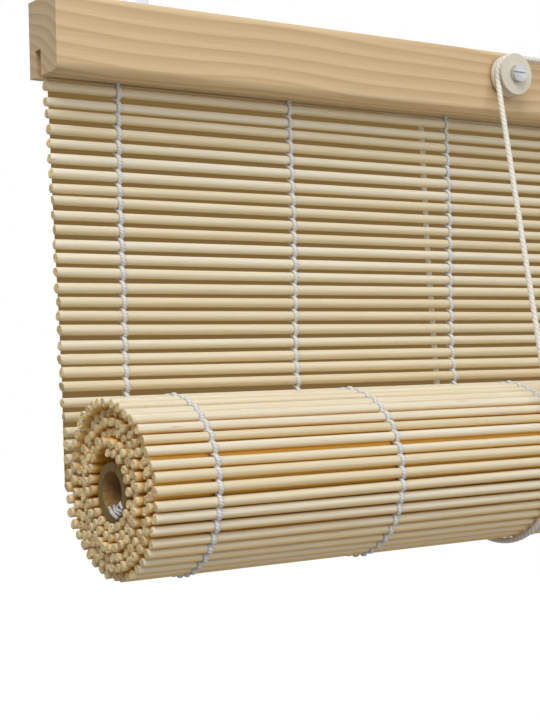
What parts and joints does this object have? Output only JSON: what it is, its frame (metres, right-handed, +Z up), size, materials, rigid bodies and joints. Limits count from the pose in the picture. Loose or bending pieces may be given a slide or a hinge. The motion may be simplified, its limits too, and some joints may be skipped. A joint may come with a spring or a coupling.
{
  "type": "bamboo blind",
  "caption": "Roll-up blind of thread-bound round bamboo slats, partly wound on a cardboard core, hung from a wooden batten with lift cords and sheaves.",
  "frame": {"origin": "midway between the two hanging holes, in the middle of the hanger plates' thickness", "axes": "+X along the slats to the right, +Y towards the wall, +Z up"},
  "size_m": [0.592, 0.0875, 0.2428],
  "materials": {
    "bamboo": "satin, pale natural bamboo",
    "timber": "planed softwood",
    "card": "matt wound cardboard",
    "cotton": "matt twisted cotton",
    "steel": "zinc plated",
    "ivory": "moulded plastic"
  },
  "bodies": {
    "blind": {"head_batten": "timber", "clamp_strip": "timber", "hung_mat": "bamboo", "roll_mat": "bamboo", "core_tube": "card", "lashing_left": "cotton", "lashing_right": "cotton", "hanger_left": "steel", "hanger_right": "steel", "hanger_screws": "steel", "strip_screws": "steel", "sheave_stud_left": "steel", "sheave_stud_right": "steel", "sheave_washers": "steel", "cord_lock": "ivory", "cord_saddle_left": "steel", "cord_saddle_right": "steel", "lift_cord_left": "cotton", "lift_cord_right": "cotton"},
    "left_sheave": {"sheave_left": "ivory"},
    "right_sheave": {"sheave_right": "ivory"}
  },
  "joints": [
    {"name": "left_sheave_spin", "type": "hinge", "parent": "blind", "child": "left_sheave", "pos_m": [-0.0657, -0.0293, -0.021], "axis": [0, 1, 0], "continuous": true},
    {"name": "right_sheave_spin", "type": "hinge", "parent": "blind", "child": "right_sheave", "pos_m": [0.1257, -0.0293, -0.027], "axis": [0, 1, 0], "continuous": true}
  ]
}
